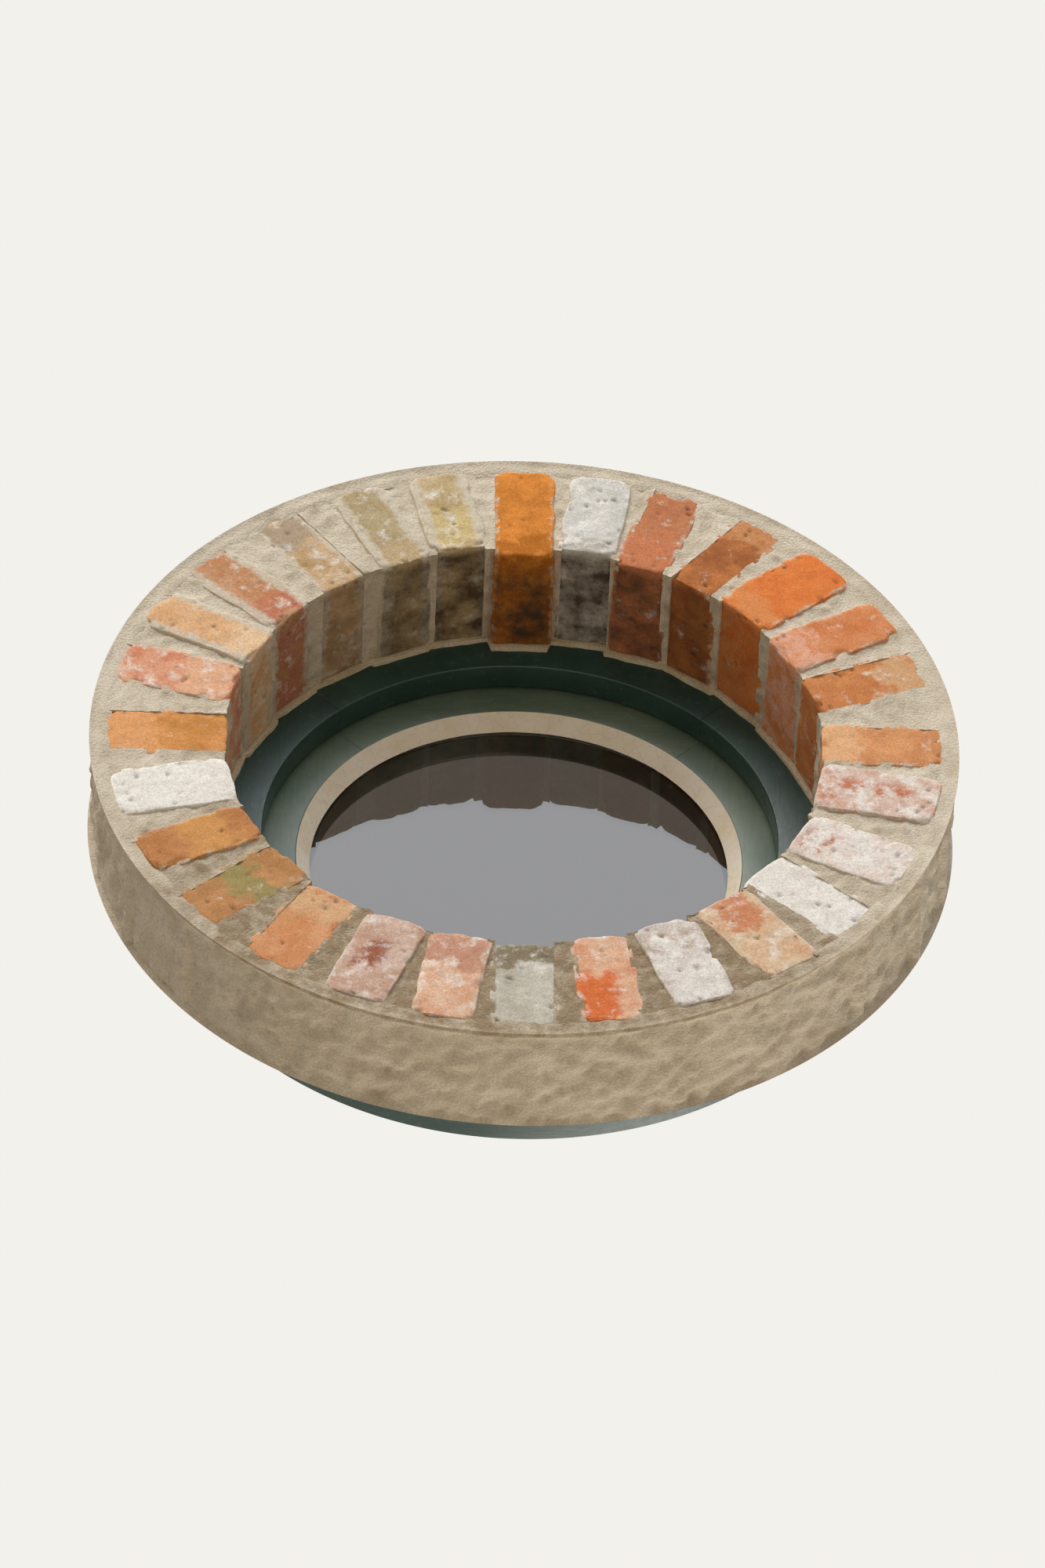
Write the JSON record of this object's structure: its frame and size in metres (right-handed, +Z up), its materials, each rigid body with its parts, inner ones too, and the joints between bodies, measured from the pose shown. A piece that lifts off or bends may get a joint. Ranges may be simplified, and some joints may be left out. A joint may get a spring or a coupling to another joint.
{
  "type": "oculus window",
  "caption": "Round window in a ring of radial brick headers and lime mortar, with a putty-glazed timber sash that swings inwards in a fixed timber frame.",
  "frame": {"origin": "centre of the opening, in the plane of the pointed face of the wall", "axes": "+Y runs from the street into the room along the window's axis, +Z is up and +X is to the right as seen from the street"},
  "size_m": [0.6, 0.1732, 0.6],
  "materials": {
    "brick_orange": "matte",
    "brick_deep_orange": "matte",
    "brick_pink": "matte",
    "brick_limewashed": "matte",
    "brick_pale_orange": "matte",
    "brick_grey": "matte",
    "brick_olive": "matte",
    "brick_brown": "matte",
    "lime_mortar": "matte",
    "frame_paint": "satin",
    "sash_paint": "satin",
    "bare_oak": "matte",
    "putty": "matte",
    "glass": "gloss",
    "zinc": "matte",
    "forged_iron": "matte",
    "hinge_steel": "satin",
    "screw_steel": "satin",
    "button_wood": "satin",
    "knob_brass": "satin"
  },
  "bodies": {
    "frame": {"brick_01": "brick_orange", "brick_02": "brick_limewashed", "brick_03": "brick_pink", "brick_04": "brick_deep_orange", "brick_05": "brick_orange", "brick_06": "brick_pink", "brick_07": "brick_orange", "brick_08": "brick_orange", "brick_09": "brick_limewashed", "brick_10": "brick_limewashed", "brick_11": "brick_limewashed", "brick_12": "brick_pale_orange", "brick_13": "brick_limewashed", "brick_14": "brick_pink", "brick_15": "brick_grey", "brick_16": "brick_pink", "brick_17": "brick_pink", "brick_18": "brick_orange", "brick_19": "brick_olive", "brick_20": "brick_deep_orange", "brick_21": "brick_limewashed", "brick_22": "brick_orange", "brick_23": "brick_pink", "brick_24": "brick_pale_orange", "brick_25": "brick_brown", "brick_26": "brick_olive", "brick_27": "brick_grey", "brick_28": "brick_olive", "ring_mortar": "lime_mortar", "frame_bedding": "lime_mortar", "frame_segment_1": "frame_paint", "frame_segment_2": "frame_paint", "frame_segment_3": "frame_paint", "frame_segment_4": "frame_paint", "frame_tongues": "bare_oak", "frame_cramps": "forged_iron", "cramp_screws": "forged_iron", "lower_frame_leaf": "hinge_steel", "upper_frame_leaf": "hinge_steel", "lower_hinge_pin": "hinge_steel", "upper_hinge_pin": "hinge_steel", "frame_leaf_screws": "screw_steel", "button_screw": "screw_steel", "button_washer": "screw_steel"},
    "sash": {"sash_segment_1": "sash_paint", "sash_segment_2": "sash_paint", "sash_segment_3": "sash_paint", "sash_segment_4": "sash_paint", "sash_tongues": "bare_oak", "glass_pane": "glass", "putty_ring": "putty", "glazing_sprigs": "zinc", "lower_sash_leaf": "hinge_steel", "upper_sash_leaf": "hinge_steel", "sash_leaf_screws": "screw_steel", "pull_knob": "knob_brass", "knob_stud": "screw_steel"},
    "turn_button": {"turn_button": "button_wood"}
  },
  "joints": [
    {"name": "sash_swing", "type": "hinge", "parent": "frame", "child": "sash", "pos_m": [-0.187, 0.1522, 0], "axis": [0, 0, 1], "range_deg": [0, 100]},
    {"name": "button_turn", "type": "hinge", "parent": "frame", "child": "turn_button", "pos_m": [0.203, 0.1488, 0], "axis": [0, 1, 0], "continuous": true}
  ]
}
